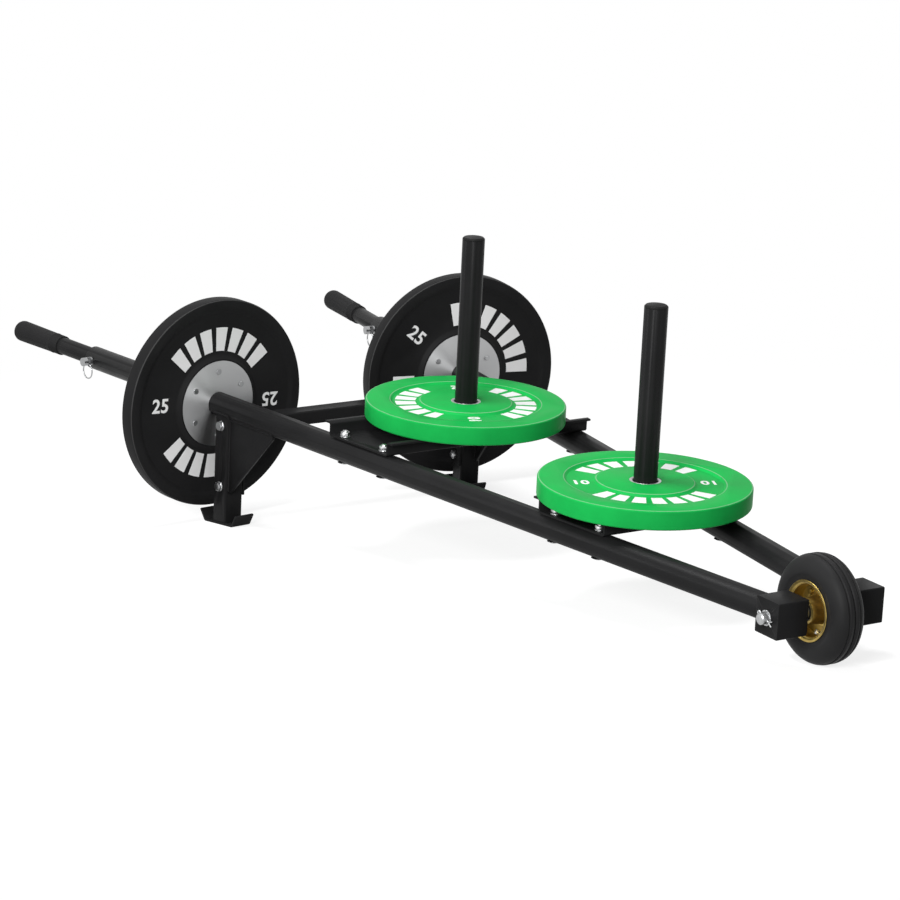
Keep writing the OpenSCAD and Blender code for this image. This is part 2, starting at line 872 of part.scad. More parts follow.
module valve_cap() {
 color([0.8, 0.8, 0.8])
 place()
 valve_axis()
 translate([0, 0, 14.5])
 cylinder(h = 6.5, r = 4.4);
}

module rim_bolts() {
 color([0.75, 0.75, 0.76])
 place()
 for (i = [0:rim_bolt_count - 1])
 rotate([0, i * 360 / rim_bolt_count + 45, 0])
 translate([rim_bolt_r, 0, 0])
 union() {
  bar_y(-rim_t, rim_t + 7, 3);
  translate([0, -rim_t, 0]) rotate([90, 0, 0]) cylinder(h = 4, d = 10 / cos(30), $fn = 6);
 }
}

module rim_nuts() {
 color([0.75, 0.75, 0.76])
 place()
 for (i = [0:rim_bolt_count - 1])
 rotate([0, i * 360 / rim_bolt_count + 45, 0])
 translate([rim_bolt_r, 0, 0])
 difference() {
  translate([0, rim_t + 5, 0]) rotate([90, 0, 0]) cylinder(h = 5, d = 10 / cos(30), $fn = 6);
  bar_y(-5, 20, 3);
 }
}

// Moves to one black plate, which hangs on its tube by the top of its bore
module at_black(left) {
 side(left)
 translate([-black_at, 0, tube_r + hang_gap - plate_bore_r])
 rotate([0, 90, 0])
 children();
}

module black_plate(left) {
 t = black_t / 2;
 r = plate_d / 2;
 h = hub_span / 2;
 q = hub_d / 2;
 f = black_round;
 s = t - black_sink;
 half = concat([[40, h - hub_t], [q, h - hub_t], [q, h - 0.6], [q + 1, h], [q + 3.4, h], [q + 4.6, h - 0.8],
  [q + 11, s + 0.8], [q + 13, s], [black_sink_r - 1, s], [black_sink_r + 1, s + 0.6], [black_sink_r + 7, t - 0.5], [black_sink_r + 8.5, t]],
  arc(r - f, t - f, f, 90, 0));
 at_black(left)
 difference() {
  rotate_extrude()
  polygon(concat(half, [for (i = [len(half) - 1:-1:0]) [half[i][0], -half[i][1]]]));
  for (i = [0:hub_rivet_count - 1])
  rotate([0, 0, i * 360 / hub_rivet_count])
  translate([hub_rivet_r, 0, -50])
  cylinder(h = 100, r = 4);
 }
}

module black_plate_right() { color([0.07, 0.07, 0.075]) place() black_plate(false); }
module black_plate_left() { color([0.07, 0.07, 0.075]) place() black_plate(true); }

module plate_hub(left) {
 h = hub_span / 2;
 at_black(left)
 difference() {
  union() {
   translate([0, 0, -h]) cylinder(h = hub_span, r = 40);
   translate([0, 0, h - hub_t]) cylinder(h = hub_t, r = hub_d / 2);
   translate([0, 0, -h]) cylinder(h = hub_t, r = hub_d / 2);
  }
  translate([0, 0, -h - 1]) cylinder(h = hub_span + 2, r = plate_bore_r);
  for (i = [0:hub_rivet_count - 1])
  rotate([0, 0, i * 360 / hub_rivet_count])
  translate([hub_rivet_r, 0, -50])
  cylinder(h = 100, r = 4);
 }
}

module plate_hub_right() { color([0.62, 0.62, 0.63]) place() plate_hub(false); }
module plate_hub_left() { color([0.62, 0.62, 0.63]) place() plate_hub(true); }

module hub_rivets(left) {
 h = hub_span / 2;
 at_black(left)
 for (i = [0:hub_rivet_count - 1])
 rotate([0, 0, i * 360 / hub_rivet_count])
 translate([hub_rivet_r, 0, 0])
 union() {
  translate([0, 0, -h - 2]) cylinder(h = hub_span + 4, r = 4);
  translate([0, 0, h]) cylinder(h = 2.2, r = 6.2);
  translate([0, 0, -h - 2.2]) cylinder(h = 2.2, r = 6.2);
 }
}

module hub_rivets_right() { color([0.7, 0.7, 0.71]) place() hub_rivets(false); }
module hub_rivets_left() { color([0.7, 0.7, 0.71]) place() hub_rivets(true); }

// Green plate lying on the channel lips
module green_plate(u) {
 t = green_t / 2;
 r = green_d / 2;
 f = green_round;
 s = t - green_sink;
 half = concat([[bore_ring_d / 2, t], [green_hub_r - 1, t], [green_hub_r + 0.4, t - 0.5], [green_hub_r + 3.6, s + 0.6], [green_hub_r + 5, s],
  [green_rim_r - 5, s], [green_rim_r - 3.6, s + 0.6], [green_rim_r - 0.6, t - 0.5], [green_rim_r + 0.8, t]],
  arc(r - f, t - f, f, 90, 0));
 translate([u, 0, channel_top + rest_gap + t])
 rotate_extrude()
 polygon(concat(half, [for (i = [len(half) - 1:-1:0]) [half[i][0], -half[i][1]]]));
}

module green_plate_rear() { color([0.1, 0.6, 0.25]) place() green_plate(rear_post_u); }
module green_plate_front() { color([0.1, 0.6, 0.25]) place() green_plate(front_post_u); }

module bore_ring(u) {
 translate([u, 0, channel_top + rest_gap])
 difference() {
  cylinder(h = green_t, r = bore_ring_d / 2);
  translate([0, 0, -1]) cylinder(h = green_t + 2, r = plate_bore_r);
 }
}

module bore_ring_rear() { color([0.7, 0.7, 0.71]) place() bore_ring(rear_post_u); }
module bore_ring_front() { color([0.7, 0.7, 0.71]) place() bore_ring(front_post_u); }

frame_tube_right();
frame_tube_left();
axle_box_right();
axle_box_left();
leg_right();
leg_left();
leg_gusset_right();
leg_gusset_left();
foot_right();
foot_left();
rear_crossmember();
crossmember_end_plates();
leg_bolts();
leg_nuts();
leg_washers();
rear_channel();
front_channel();
channel_bolts();
channel_nuts();
channel_washers();
rear_post();
front_post();
post_caps();
handle_tube_right();
handle_tube_left();
grip_right();
grip_left();
axle();
axle_cotter();
axle_washers();
axle_spacers();
bearing_inner_races();
lock_pin_right();
lock_pin_left();
pull_ring_right();
pull_ring_left();
tyre();
inner_tube();
rim_right_half();
rim_left_half();
rim_bolts();
rim_nuts();
bearing_outer_races();
bearing_balls();
valve_stem();
valve_cap();
black_plate_right();
black_plate_left();
plate_hub_right();
plate_hub_left();
hub_rivets_right();
hub_rivets_left();
green_plate_rear();
green_plate_front();
bore_ring_rear();
bore_ring_front();
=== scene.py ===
"""Finished look of the plate-loaded wheelbarrow, laid out as a Blender add-on.

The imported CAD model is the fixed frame. The operators dress its nodes with
finishes and rounded edges, and add weld beads, painted marks and the studio.
"""

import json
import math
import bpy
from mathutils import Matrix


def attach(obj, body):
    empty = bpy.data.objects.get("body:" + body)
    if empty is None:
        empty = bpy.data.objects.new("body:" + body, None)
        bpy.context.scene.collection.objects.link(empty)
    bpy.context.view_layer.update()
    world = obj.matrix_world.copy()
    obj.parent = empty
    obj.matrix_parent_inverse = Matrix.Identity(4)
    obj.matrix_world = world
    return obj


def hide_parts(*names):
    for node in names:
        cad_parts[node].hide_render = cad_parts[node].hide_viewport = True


bl_info = {
    "name": "Plate-loaded wheelbarrow",
    "version": (1, 0, 0),
    "blender": (4, 5, 0),
    "location": "3D View > Sidebar > Wheelbarrow",
    "description": "Dresses the wheelbarrow's CAD model and sets up its studio",
    "category": "Object",
}

import bmesh
import bpy
from mathutils import Matrix, Vector

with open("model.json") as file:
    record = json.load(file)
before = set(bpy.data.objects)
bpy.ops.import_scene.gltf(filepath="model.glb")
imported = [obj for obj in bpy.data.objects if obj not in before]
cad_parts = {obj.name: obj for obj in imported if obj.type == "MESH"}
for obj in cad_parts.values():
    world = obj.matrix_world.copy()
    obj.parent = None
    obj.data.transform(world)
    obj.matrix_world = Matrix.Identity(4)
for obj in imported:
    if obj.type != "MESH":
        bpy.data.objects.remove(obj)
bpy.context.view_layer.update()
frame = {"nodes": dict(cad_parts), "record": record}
NODES = frame["nodes"]

MM = 0.001

# Places and sizes repeated from the CAD source, in mm. The frame plane holds the
# axes of both long tubes. It starts at the axle and rises towards the handles.
# The posts and boxes are placed from the axle, with forward positive, and the
# legs and black plates are placed back from it, along their tube.
PITCH = math.radians(5.4)
SPREAD = math.radians(7.99)
HALF_SPACING = 77.2
TYRE_R = 101.5
ORIGIN_X = 1144.21
TUBE_R = 25.0
BOX_REAR = -31.5
LEG_AT = 1631.0
LEG_SIZE = 45.0
GUSSET_OFF = 13.0
GUSSET_T = 6.0
POSTS = {"rear": -1173.0, "front": -543.0}
POST_R = 23.0
CHANNEL_H = 30.2
STAND_OFF = 24.0
BLACK_T = 34.0
BLACK_AT = LEG_AT + LEG_SIZE / 2 + STAND_OFF + BLACK_T / 2
# A black plate hangs on its tube by the top of its bore, a little off centre
BLACK_DROP = -0.2
GREEN_T = 38.0
GREEN_GAP = 0.3
GREEN_MID = TUBE_R + CHANNEL_H + GREEN_GAP + GREEN_T / 2

# Painted marks: heights and radii in mm, angles in radians. The floor is the
# face that they stand on, measured from the middle of the plate.
BLACK_MARKS = {"floor": 12.0, "inner": 113.0, "outer": 164.0, "bar_angle": 0.185,
               "step": 0.268, "digits": "25", "digit_r": 146.0, "digit_size": 42.0}
GREEN_MARKS = {"floor": 14.0, "inner": 104.0, "outer": 146.0, "bar_angle": 0.2,
               "step": 0.29, "digits": "10", "digit_r": 126.0, "digit_size": 34.0}
BLACK_TURNS = {"right": -0.07, "left": -0.7}
GREEN_TURNS = {"rear": 2.72, "front": 1.15}
MARK_DEPTH = 0.6
DIGIT_STROKE = 0.9
DIGIT_SPACING = 1.06
BAR_STEPS = 6

# Painted highlight lines round the plates, on edges and steps, in mm from the bore's
# axis
BLACK_HIGHLIGHT_RADII = (223.6,)
GREEN_HIGHLIGHT_RADII = (94.6, 156.4, 204.6)
HIGHLIGHT_LINE_WIDTH = 0.9

# Studio: places and sizes in metres, powers in watts. A white strength is 1.
FLOOR_REACH = 40.0
FLOOR_TONE = 0.3
FLOOR_LIFT = 0.8
FADE_START, FADE_END = 1.3, 2.6
WORLD_STRENGTH = 0.3
LAMP_TARGET = (0.0, 0.0, 0.2)
LAMPS = (
    ("top_lamp", (0.3, -1.0, 4.5), 1.5, 122.0),
    ("key_lamp", (3.1, -3.7, 2.1), 2.2, 225.0),
    ("side_lamp", (-1.5, -4.8, 2.2), 1.6, 55.0),
)

# Camera, solved from the photograph: its place in mm from the axle, on the axes
# of the frame plane, and its turns and focal length, in degrees and pixels.
CAMERA_AT = (4511.3, -3796.5, 1910.7)
CAMERA_AZIMUTH, CAMERA_ELEVATION, CAMERA_ROLL = 56.494, 15.72, 2.731
FOCAL_LENGTH = 3436.33
PHOTO_WIDTH = 900.0
SENSOR_WIDTH = 36.0

# Finishes that one operator makes and a later one uses again
FINISHES = {}


# ---------------------------------------------------------------- places

def frame_matrix():
    """From the tilted frame plane, in mm from the axle, to metres on the floor."""
    return (
        Matrix.Translation((ORIGIN_X * MM, 0, TYRE_R * MM))
        @ Matrix.Rotation(PITCH, 4, "Y")
        @ Matrix.Scale(MM, 4)
    )


def side_matrix(left):
    """Local frame of one tube: x forward along it, y towards the middle."""
    flip = Matrix.Scale(-1, 4, (0, 1, 0)) if left else Matrix.Identity(4)
    turn = Matrix.Rotation(SPREAD, 4, "Z")
    return frame_matrix() @ flip @ Matrix.Translation((0, -HALF_SPACING, 0)) @ turn


def black_face_matrix(left, rear_face):
    """Face of a black plate: z out of the face, y up, origin on the bore axis."""
    centre = Vector((-BLACK_AT, 0, BLACK_DROP))
    world = side_matrix(left)
    along = (world.to_3x3() @ Vector((1, 0, 0))).normalized()
    up = (world.to_3x3() @ Vector((0, 0, 1))).normalized()
    out = -along if rear_face else along
    right = up.cross(out)
    basis = Matrix((right, up, out)).transposed().to_4x4()
    return Matrix.Translation(world @ centre) @ basis @ Matrix.Scale(MM, 4)


def green_face_matrix(which, under_face):
    """Face of a green plate: z out of the face, origin on the post axis."""
    turn = Matrix.Rotation(math.pi, 4, "X") if under_face else Matrix.Identity(4)
    return frame_matrix() @ Matrix.Translation((POSTS[which], 0, GREEN_MID)) @ turn


# ---------------------------------------------------------------- finishes

# Pointiness of rounded and of sharp edges, and how much a painted highlight lightens
# these
EDGE_POINTINESS = (0.53, 0.64)
EDGE_LIGHT = 1.8
# Share of the plate's own colour in its painted highlight lines
HIGHLIGHT_LINE_SHARE = 0.65


def start_material(name):
    """A new node material, with its tree and its shader."""
    material = bpy.data.materials.new(name)
    material.use_nodes = True
    tree = material.node_tree
    shader = tree.nodes["Principled BSDF"]
    return material, tree, shader


def mapped_coordinates(tree, matrix=None):
    """Object coordinates, turned and centred on a piece when a matrix is given."""
    coordinate = tree.nodes.new("ShaderNodeTexCoord")
    mapping = tree.nodes.new("ShaderNodeMapping")
    if matrix is not None:
        inverse = matrix.inverted()
        mapping.inputs["Location"].default_value = inverse.to_translation()
        mapping.inputs["Rotation"].default_value = inverse.to_euler()
        mapping.inputs["Scale"].default_value = inverse.to_scale()
    tree.links.new(coordinate.outputs["Object"], mapping.inputs["Vector"])
    return mapping.outputs["Vector"]


def noise(tree, vector, scale, detail, rough=0.5):
    """Noise from 0 to 1, with about so many patches to a unit of the vector."""
    node = tree.nodes.new("ShaderNodeTexNoise")
    node.inputs["Scale"].default_value = scale
    node.inputs["Detail"].default_value = detail
    node.inputs["Roughness"].default_value = rough
    tree.links.new(vector, node.inputs["Vector"])
    return node.outputs["Fac"]


def spread_range(tree, value, low, high, start=0.3, end=0.7):
    """Maps start to end onto low to high. Most of a noise lies from 0.3 to 0.7."""
    node = tree.nodes.new("ShaderNodeMapRange")
    node.inputs["From Min"].default_value = start
    node.inputs["From Max"].default_value = end
    node.inputs["To Min"].default_value = low
    node.inputs["To Max"].default_value = high
    tree.links.new(value, node.inputs["Value"])
    return node.outputs["Result"]


def blend_colour(tree, factor, first, second):
    """First colour at 0 and second at 1. Each is a plain colour or a socket."""
    node = tree.nodes.new("ShaderNodeMix")
    node.data_type = "RGBA"
    tree.links.new(factor, node.inputs[0])
    for socket, colour in ((node.inputs[6], first), (node.inputs[7], second)):
        if hasattr(colour, "is_output"):
            tree.links.new(colour, socket)
        else:
            socket.default_value = (*colour[:3], 1.0)
    return node.outputs[2]


def shade(colour, factor):
    """A lighter or darker colour of the same hue."""
    return tuple(min(1.0, c * factor) for c in colour[:3])


def add_bump(tree, shader, height, strength, distance):
    """Relief from a height of 0 to 1, as deep as the distance, in metres."""
    node = tree.nodes.new("ShaderNodeBump")
    node.inputs["Strength"].default_value = strength
    node.inputs["Distance"].default_value = distance
    tree.links.new(height, node.inputs["Height"])
    tree.links.new(node.outputs["Normal"], shader.inputs["Normal"])


def grained_finish(name, colour, rough, metal=0.0, spread=0.12, patch=9.0,
                   grain=900.0, relief=0.00005, strength=0.35, specular=0.5,
                   edge=0.0, place=None, highlight_radii=(), highlight_tone=0.0):
    """Painted, moulded or plated finish with patches of tone and a fine grain.

    Patch and grain are counts to a metre, and relief is in metres. An edge over
    0 paints a highlight on sharp edges. Round pieces get painted highlight lines
    at the given radii about their place, where light catches their edges and steps.
    """
    material, tree, shader = start_material(name)
    vector = mapped_coordinates(tree)
    patches = noise(tree, vector, patch, 5.0, 0.6)
    tone = blend_colour(tree, spread_range(tree, patches, 0.0, 1.0),
                        shade(colour, 1 - spread), shade(colour, 1 + spread))
    # Painted highlight: sharp edges are made lighter, as if they catch the light
    if edge:
        geometry = tree.nodes.new("ShaderNodeNewGeometry")
        edge_highlight = spread_range(tree, geometry.outputs["Pointiness"], 0.0, edge,
                            *EDGE_POINTINESS)
        tone = blend_colour(tree, edge_highlight, tone, shade(colour, EDGE_LIGHT))
    # Painted highlight: lighter lines at the radii of the plate's edges and steps
    for radius in highlight_radii:
        reach = radius_from_axis(tree, mapped_coordinates(tree, place))
        off = tree.nodes.new("ShaderNodeMath")
        off.operation = "COMPARE"
        tree.links.new(reach, off.inputs[0])
        off.inputs[1].default_value = radius
        off.inputs[2].default_value = HIGHLIGHT_LINE_WIDTH
        light = tuple(HIGHLIGHT_LINE_SHARE * c + highlight_tone for c in colour[:3])
        tone = blend_colour(tree, off.outputs[0], tone, light)
    tree.links.new(tone, shader.inputs["Base Color"])
    fine = noise(tree, vector, grain, 2.0)
    tree.links.new(spread_range(tree, patches, rough - 0.05, rough + 0.07),
                   shader.inputs["Roughness"])
    shader.inputs["Metallic"].default_value = metal
    shader.inputs["Specular IOR Level"].default_value = specular
    add_bump(tree, shader, fine, strength, relief)
    return material


def radius_from_axis(tree, vector):
    """Distance from the z axis of the mapped coordinates, in mm."""
    split = tree.nodes.new("ShaderNodeSeparateXYZ")
    tree.links.new(vector, split.inputs["Vector"])
    flat = tree.nodes.new("ShaderNodeCombineXYZ")
    tree.links.new(split.outputs["X"], flat.inputs["X"])
    tree.links.new(split.outputs["Y"], flat.inputs["Y"])
    length = tree.nodes.new("ShaderNodeVectorMath")
    length.operation = "LENGTH"
    tree.links.new(flat.outputs["Vector"], length.inputs[0])
    return length.outputs["Value"]


def spoke_direction(tree, matrix):
    """Direction away from the z axis of the given place, across the brushing."""
    coordinate = tree.nodes.new("ShaderNodeTexCoord")
    spoke = tree.nodes.new("ShaderNodeVectorMath")
    spoke.operation = "SUBTRACT"
    tree.links.new(coordinate.outputs["Object"], spoke.inputs[0])
    spoke.inputs[1].default_value = matrix.to_translation()
    unit = tree.nodes.new("ShaderNodeVectorMath")
    unit.operation = "NORMALIZE"
    tree.links.new(spoke.outputs["Vector"], unit.inputs[0])
    return unit.outputs["Vector"]


def turned_steel(name, matrix, colour, rough):
    """Steel disc brushed in circles about the z axis of the given place."""
    material, tree, shader = start_material(name)
    vector = mapped_coordinates(tree, matrix)
    ring = tree.nodes.new("ShaderNodeCombineXYZ")
    tree.links.new(radius_from_axis(tree, vector), ring.inputs["X"])
    lines = noise(tree, ring.outputs["Vector"], 1.6, 6.0, 0.75)
    tone = blend_colour(tree, spread_range(tree, lines, 0.0, 1.0),
                        shade(colour, 0.86), shade(colour, 1.1))
    tree.links.new(tone, shader.inputs["Base Color"])
    shader.inputs["Metallic"].default_value = 1.0
    shader.inputs["Anisotropic"].default_value = 0.85
    tree.links.new(spoke_direction(tree, matrix), shader.inputs["Tangent"])
    tree.links.new(spread_range(tree, lines, rough - 0.06, rough + 0.08),
                   shader.inputs["Roughness"])
    add_bump(tree, shader, lines, 0.3, 0.0002)
    return material


def paint(node_name, material):
    """Gives a carried-over CAD node its finish."""
    mesh = NODES[node_name].data
    mesh.materials.clear()
    mesh.materials.append(material)


# ---------------------------------------------------------------- pieces

def link_piece(name, mesh, material=None):
    """A new object with the mesh, in the scene and with one finish."""
    piece = bpy.data.objects.new(name, mesh)
    bpy.context.scene.collection.objects.link(piece)
    if material is not None:
        mesh.materials.clear()
        mesh.materials.append(material)
    return piece


def settle(piece):
    """Turns an object with modifiers into a plain mesh object of the same name."""
    graph = bpy.context.evaluated_depsgraph_get()
    mesh = bpy.data.meshes.new_from_object(piece.evaluated_get(graph))
    piece.modifiers.clear()
    old = piece.data
    piece.data = mesh
    bpy.data.meshes.remove(old)


# Points closer than this, in metres, are one point, and faces that meet at less
# than this angle, in degrees, are one face
MERGE_GAP = 0.000002
FLAT_ANGLE = 0.6


def finished_copy(node_name, material, width, angle=32.0):
    """Replaces a node by a merged copy with rounded edges and smooth faces.

    The rounding's width is in metres, and 0 leaves the edges as they are.
    Edges sharper than the angle, in degrees, are rounded and stay crisp.
    """
    mesh = NODES[node_name].data.copy()
    work = bmesh.new()
    work.from_mesh(mesh)
    bmesh.ops.remove_doubles(work, verts=work.verts, dist=MERGE_GAP)
    bmesh.ops.dissolve_limit(work, angle_limit=math.radians(FLAT_ANGLE),
                             verts=work.verts, edges=work.edges)
    work.to_mesh(mesh)
    work.free()
    piece = link_piece(node_name + "_finish", mesh, material)
    if width > 0:
        bevel = piece.modifiers.new("rounded_edges", "BEVEL")
        bevel.width = width
        bevel.segments = 2
        bevel.limit_method = "ANGLE"
        bevel.angle_limit = math.radians(angle)
        bevel.use_clamp_overlap = True
        bevel.harden_normals = True
    settle(piece)
    piece.data.shade_smooth()
    piece.data.set_sharp_from_angle(angle=math.radians(angle))
    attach(piece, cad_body(node_name))
    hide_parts(node_name)


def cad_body(node_name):
    """Name of the body that holds a CAD node."""
    for body, members in frame["record"]["behaviour"]["bodies"].items():
        if node_name in members:
            return body
    raise RuntimeError("no body holds " + node_name)


def set_input(modifier, name, value):
    """Sets a named input of a node tree by its identifier."""
    for item in modifier.node_group.interface.items_tree:
        if item.item_type == "SOCKET" and item.in_out == "INPUT" and item.name == name:
            modifier[item.identifier] = value
            return
    raise RuntimeError("no input named " + name)


def new_tree(name, sockets):
    """A geometry tree with named inputs, its start node and its end node."""
    tree = bpy.data.node_groups.new(name, "GeometryNodeTree")
    new_socket = tree.interface.new_socket
    new_socket("Geometry", in_out="INPUT", socket_type="NodeSocketGeometry")
    for label, kind, value in sockets:
        socket = new_socket(label, in_out="INPUT", socket_type=kind)
        if value is not None:
            socket.default_value = value
    new_socket("Geometry", in_out="OUTPUT", socket_type="NodeSocketGeometry")
    start = tree.nodes.new("NodeGroupInput")
    end = tree.nodes.new("NodeGroupOutput")
    return tree, start, end


def finish_tree(tree, start, end, geometry):
    """Ends a tree in Realize Instances and Set Material."""
    realize = tree.nodes.new("GeometryNodeRealizeInstances")
    tree.links.new(geometry, realize.inputs[0])
    dress = tree.nodes.new("GeometryNodeSetMaterial")
    tree.links.new(realize.outputs[0], dress.inputs["Geometry"])
    tree.links.new(start.outputs["Finish"], dress.inputs["Material"])
    tree.links.new(dress.outputs[0], end.inputs[0])


def weld_tree():
    """Overlapping ripples of weld metal along the piece's own edges."""
    tree, start, end = new_tree("weld_ripples", [
        ("Ripple pitch", "NodeSocketFloat", 0.0022),
        ("Ripple radius", "NodeSocketFloat", 0.003),
        ("Seed", "NodeSocketInt", 4),
        ("Finish", "NodeSocketMaterial", None),
    ])
    make = tree.nodes.new
    link = tree.links.new
    curve = make("GeometryNodeMeshToCurve")
    link(start.outputs["Geometry"], curve.inputs[0])
    points = make("GeometryNodeCurveToPoints")
    points.mode = "LENGTH"
    link(curve.outputs[0], points.inputs[0])
    link(start.outputs["Ripple pitch"], points.inputs["Length"])
    ball = make("GeometryNodeMeshIcoSphere")
    ball.inputs["Subdivisions"].default_value = 2
    link(start.outputs["Ripple radius"], ball.inputs["Radius"])
    place = make("GeometryNodeInstanceOnPoints")
    link(points.outputs["Points"], place.inputs["Points"])
    link(ball.outputs["Mesh"], place.inputs["Instance"])
    link(points.outputs["Rotation"], place.inputs["Rotation"])
    size = make("FunctionNodeRandomValue")
    size.data_type = "FLOAT_VECTOR"
    size.inputs[0].default_value = (0.85, 0.9, 0.55)
    size.inputs[1].default_value = (1.05, 1.12, 0.7)
    link(start.outputs["Seed"], size.inputs["Seed"])
    link(size.outputs[0], place.inputs["Scale"])
    finish_tree(tree, start, end, place.outputs[0])
    return tree


def ring_tree():
    """Repeats the piece about z in two arcs, or evenly when the arcs meet."""
    tree, start, end = new_tree("marks_about_axis", [
        ("Marks in each arc", "NodeSocketInt", 7),
        ("Step", "NodeSocketFloat", 0.26),
        ("Arc turn", "NodeSocketFloat", math.pi),
        ("Arcs", "NodeSocketInt", 2),
        ("Finish", "NodeSocketMaterial", None),
    ])
    make = tree.nodes.new
    link = tree.links.new

    def maths(kind, a, b):
        node = make("ShaderNodeMath")
        node.operation = kind
        for socket, value in zip(node.inputs, (a, b)):
            if hasattr(value, "is_output"):
                link(value, socket)
            else:
                socket.default_value = value
        return node.outputs[0]

    in_arc = start.outputs["Marks in each arc"]
    count = maths("MULTIPLY", in_arc, start.outputs["Arcs"])
    points = make("GeometryNodePoints")
    link(count, points.inputs["Count"])
    index = make("GeometryNodeInputIndex").outputs[0]
    arc = maths("FLOOR", maths("DIVIDE", maths("ADD", index, 0.5), in_arc), 0.0)
    within = maths("SUBTRACT", index, maths("MULTIPLY", arc, in_arc))
    middle = maths("DIVIDE", maths("SUBTRACT", in_arc, 1.0), 2.0)
    steps = maths("MULTIPLY", maths("SUBTRACT", within, middle), start.outputs["Step"])
    angle = maths("ADD", steps, maths("MULTIPLY", arc, start.outputs["Arc turn"]))
    turn = make("ShaderNodeCombineXYZ")
    link(angle, turn.inputs["Z"])
    place = make("GeometryNodeInstanceOnPoints")
    link(points.outputs[0], place.inputs["Points"])
    link(start.outputs["Geometry"], place.inputs["Instance"])
    link(turn.outputs[0], place.inputs["Rotation"])
    finish_tree(tree, start, end, place.outputs[0])
    return tree


def tree_once(name, maker):
    """The tree of that name, made at its first use."""
    return bpy.data.node_groups.get(name) or maker()


def grow(piece, tree, inputs):
    """Runs a geometry tree on a piece and keeps the result as its mesh."""
    modifier = piece.modifiers.new(tree.name, "NODES")
    modifier.node_group = tree
    for name, value in inputs.items():
        set_input(modifier, name, value)
    settle(piece)


def slab_mesh(name, outline, top, bottom):
    """Solid slab with the given outline, from bottom to top along z."""
    count = len(outline)
    points = [(x, y, bottom) for x, y in outline] + [(x, y, top) for x, y in outline]
    faces = [tuple(range(count - 1, -1, -1)), tuple(range(count, 2 * count))]
    for i in range(count):
        j = (i + 1) % count
        faces.append((i, j, count + j, count + i))
    mesh = bpy.data.meshes.new(name)
    mesh.from_pydata(points, [], faces)
    return mesh


def bar_outline(inner, outer, half_angle):
    """Annular bar about the +y direction."""
    angles = [-half_angle + 2 * half_angle * i / BAR_STEPS for i in range(BAR_STEPS + 1)]
    low = [(inner * math.sin(a), inner * math.cos(a)) for a in angles]
    high = [(outer * math.sin(a), outer * math.cos(a)) for a in reversed(angles)]
    return (low + high)[::-1]


def number_mesh(name, digits, size, top, bottom):
    """Plain digits as a slab, centred on the origin, read with +y up."""
    curve = bpy.data.curves.new(name + "_digits", "FONT")
    curve.body = digits
    curve.size = size
    curve.offset = DIGIT_STROKE
    curve.space_character = DIGIT_SPACING
    curve.align_x = "CENTER"
    curve.align_y = "CENTER"
    curve.extrude = (top - bottom) / 2
    curve.resolution_u = 4
    item = bpy.data.objects.new(name + "_digits", curve)
    bpy.context.scene.collection.objects.link(item)
    graph = bpy.context.evaluated_depsgraph_get()
    mesh = bpy.data.meshes.new_from_object(item.evaluated_get(graph))
    bpy.data.objects.remove(item)
    bpy.data.curves.remove(curve)
    work = bmesh.new()
    work.from_mesh(mesh)
    bmesh.ops.remove_doubles(work, verts=work.verts, dist=0.001)
    bmesh.ops.recalc_face_normals(work, faces=work.faces)
    work.to_mesh(mesh)
    work.free()
    mesh.transform(Matrix.Translation((0, 0, (top + bottom) / 2)))
    return mesh


def join_meshes(name, parts):
    """One mesh from (mesh, matrix) pairs."""
    work = bmesh.new()
    for mesh, matrix in parts:
        copy = mesh.copy()
        copy.transform(matrix)
        if matrix.to_3x3().determinant() < 0:
            copy.flip_normals()
        work.from_mesh(copy)
        bpy.data.meshes.remove(copy)
    mesh = bpy.data.meshes.new(name)
    work.to_mesh(mesh)
    work.free()
    return mesh


def ring_points(centre, first, second, radius, count=48):
    """Closed run of points about a centre, in the plane of two directions."""
    angles = [math.tau * i / count for i in range(count + 1)]
    return [centre + radius * (math.cos(a) * first + math.sin(a) * second)
            for a in angles]


def line_points(start, end, count):
    """Open run of points on a straight line."""
    return [start + (end - start) * i / count for i in range(count + 1)]


def path_mesh(name, paths):
    """Edges along several runs of points."""
    points, edges = [], []
    for run in paths:
        base = len(points)
        points += [tuple(p) for p in run]
        edges += [(base + i, base + i + 1) for i in range(len(run) - 1)]
    mesh = bpy.data.meshes.new(name)
    mesh.from_pydata(points, edges, [])
    return mesh


def settings():
    """The colours and sizes that the user sets in the panel."""
    return bpy.context.scene.wheelbarrow


# ---------------------------------------------------------------- properties

def colour_property(name, description, *default):
    """A colour that the user can change."""
    return bpy.props.FloatVectorProperty(name=name, description=description,
                                         default=default, size=3, min=0.0, max=1.0,
                                         subtype="COLOR")


def length_property(name, description, default):
    """A length in metres that the user can change."""
    return bpy.props.FloatProperty(name=name, description=description, default=default,
                                   min=0.0, unit="LENGTH", subtype="DISTANCE")


